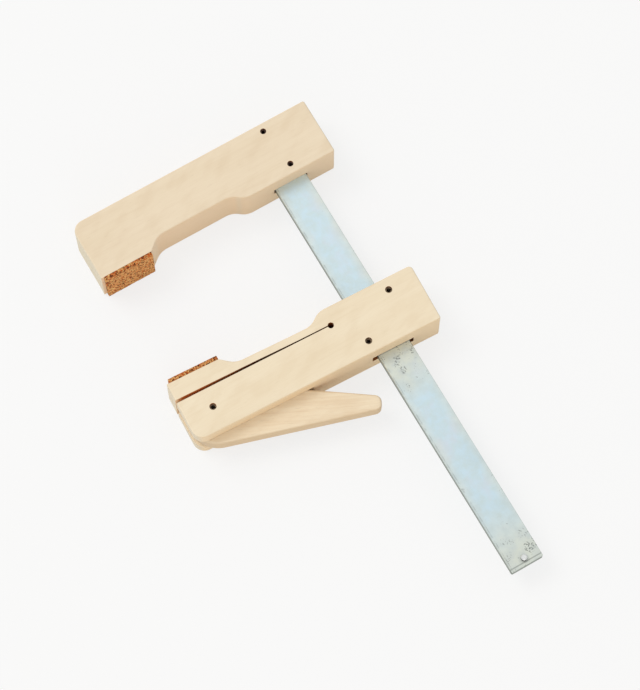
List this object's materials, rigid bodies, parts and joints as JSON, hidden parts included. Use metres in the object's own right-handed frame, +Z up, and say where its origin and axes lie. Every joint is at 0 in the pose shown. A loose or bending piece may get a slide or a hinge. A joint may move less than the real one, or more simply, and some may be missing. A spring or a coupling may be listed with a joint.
{
  "type": "cam clamp",
  "caption": "Light bar clamp with two wooden jaws, cork pads and a wooden cam lever that bends the arm of the sliding jaw.",
  "frame": {"origin": "on the underside of the fixed jaw, below the middle of the bar and midway between that jaw's inner and outer faces", "axes": "+X along the bar from the fixed jaw to its free end, -Y out to the noses of the jaws, +Z up through the thickness; the clamp lies flat"},
  "size_m": [0.2939, 0.1538, 0.028],
  "materials": {
    "jaw_wood": "pale close-grained hardwood, sanded, unvarnished",
    "lever_wood": "slightly darker hardwood, sanded",
    "cork": "pressed granular cork",
    "bar_steel": "bluish zinc plating, scratched and dulled at the edges",
    "pin_steel": "plain dark spring steel"
  },
  "bodies": {
    "bar_and_head": {"fixed_jaw": "jaw_wood", "fixed_pad": "cork", "bar": "bar_steel", "head_pin_outer": "pin_steel", "head_pin_inner": "pin_steel", "stop_pin": "bar_steel"},
    "grip_pin": {"front_grip_pin": "pin_steel"},
    "sliding_jaw": {"sliding_jaw": "jaw_wood", "rear_grip_pin": "pin_steel", "cam_pivot_pin": "pin_steel"},
    "flexing_arm": {"flexing_arm": "jaw_wood", "sliding_pad": "cork"},
    "cam_lever": {"cam_lever": "lever_wood"}
  },
  "joints": [
    {"name": "jaw_slide", "type": "slide", "parent": "bar_and_head", "child": "grip_pin", "axis": [1, 0, 0], "range_m": [-0.0621, 0.1375]},
    {"name": "jaw_rock", "type": "hinge", "parent": "grip_pin", "child": "sliding_jaw", "pos_m": [0.1251, -0.01205, 0.014], "axis": [0, 0, 1], "range_deg": [0, 2.2]},
    {"name": "lever_swing", "type": "hinge", "parent": "sliding_jaw", "child": "cam_lever", "pos_m": [0.11464, -0.10556, 0.014], "axis": [0, 0, -1], "range_deg": [0, 100]},
    {"name": "arm_flex", "type": "hinge", "parent": "sliding_jaw", "child": "flexing_arm", "pos_m": [0.10675, -0.02569, 0.014], "axis": [0, 0, -1], "range_deg": [0, 3.1]}
  ],
  "couplings": [
    {"joint": "arm_flex", "follows": "lever_swing", "ratio": 0.03}
  ]
}
